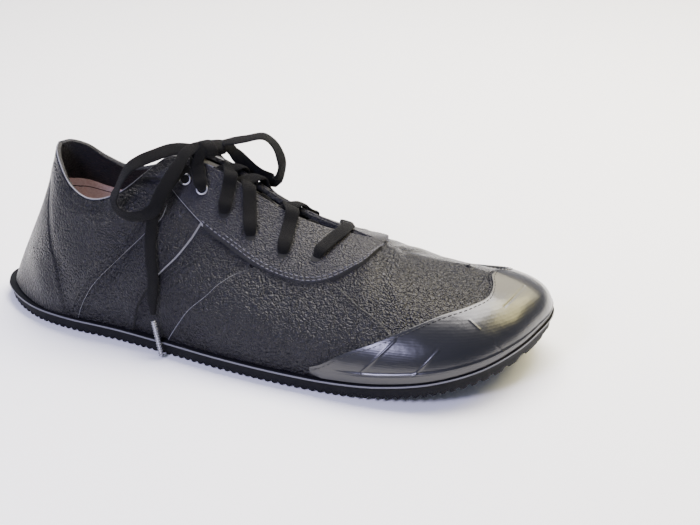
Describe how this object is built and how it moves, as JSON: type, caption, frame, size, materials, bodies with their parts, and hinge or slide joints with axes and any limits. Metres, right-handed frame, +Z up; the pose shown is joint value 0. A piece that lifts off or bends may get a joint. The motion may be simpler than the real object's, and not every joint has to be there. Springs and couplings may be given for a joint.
{
  "type": "barefoot shoe",
  "caption": "Low leather lace-up shoe for a right foot, with a thin flat rubber sole, a rubber toe cap and a tied flat lace.",
  "frame": {"origin": "on the floor under the middle of the sole's box", "axes": "+X towards the toes, -Y the outer side of the foot, +Z up"},
  "size_m": [0.2825, 0.109, 0.0967],
  "materials": {
    "black_rubber": "matte",
    "tan_leather": "matte",
    "black_leather": "satin",
    "glossy_rubber": "gloss",
    "black_smooth_leather": "satin",
    "woven_lace": "matte",
    "nickel_eyelet": "polished",
    "plastic_tip": "satin"
  },
  "bodies": {
    "root": {"outsole": "black_rubber", "insole": "tan_leather", "upper": "black_leather", "toe_cap": "glossy_rubber", "heel_quarter": "black_leather", "eyestay": "black_smooth_leather", "tongue": "black_smooth_leather", "lace_front": "woven_lace", "lace_second": "woven_lace", "lace_third": "woven_lace", "lace_fourth": "woven_lace", "lace_fifth": "woven_lace", "lace_knot": "woven_lace", "lace_loop_outer": "woven_lace", "lace_loop_inner": "woven_lace", "lace_end_outer": "woven_lace", "lace_end_inner": "woven_lace", "eyelet_fifth_outer": "nickel_eyelet", "eyelet_fifth_inner": "nickel_eyelet", "eyelet_top_outer": "nickel_eyelet", "eyelet_top_inner": "nickel_eyelet", "aglet_outer": "plastic_tip", "aglet_inner": "plastic_tip"}
  },
  "joints": []
}
